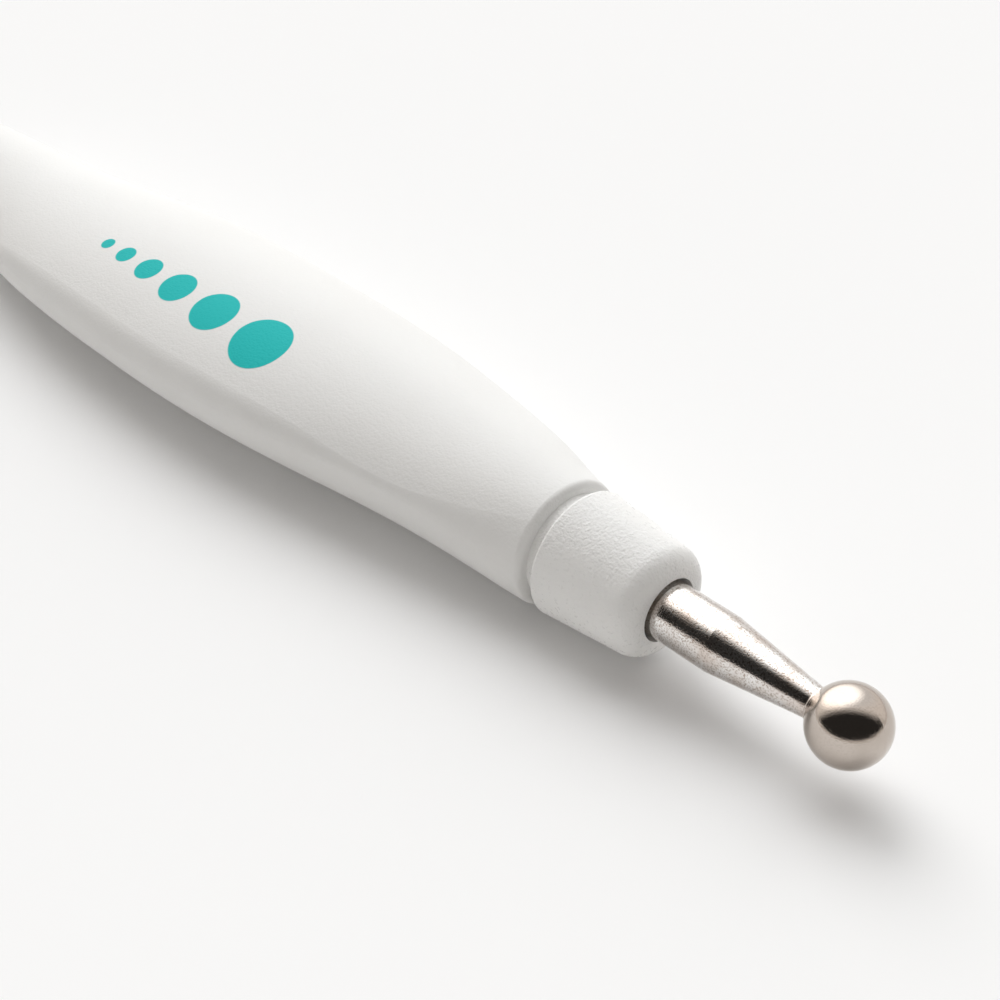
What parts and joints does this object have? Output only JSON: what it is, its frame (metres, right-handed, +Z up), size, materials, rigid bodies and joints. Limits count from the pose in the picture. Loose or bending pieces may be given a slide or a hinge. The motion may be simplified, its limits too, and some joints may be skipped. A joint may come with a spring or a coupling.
{
  "type": "double-ended embossing stylus",
  "caption": "Hand stylus for embossing and dotting: a flattened oval plastic grip with a tapered collar, steel pin and ball tip at each end.",
  "frame": {"origin": "middle of the grip's resting flat, on the surface the tool lies on, halfway between the two tips", "axes": "+X along the tool towards the larger ball, +Y across the grip, +Z up away from the resting flat"},
  "size_m": [0.121, 0.0174, 0.0093],
  "materials": {
    "grip_plastic": "satin white with a fine spark-eroded texture",
    "collar_plastic": "matt white with a fine spark-eroded texture",
    "stem_steel": "turned and polished, slightly pitted",
    "ball_steel": "mirror polished"
  },
  "bodies": {
    "root": {"grip": "grip_plastic", "front_collar": "collar_plastic", "rear_collar": "collar_plastic", "front_stem": "stem_steel", "rear_stem": "stem_steel", "front_ball": "ball_steel", "rear_ball": "ball_steel"}
  },
  "joints": []
}
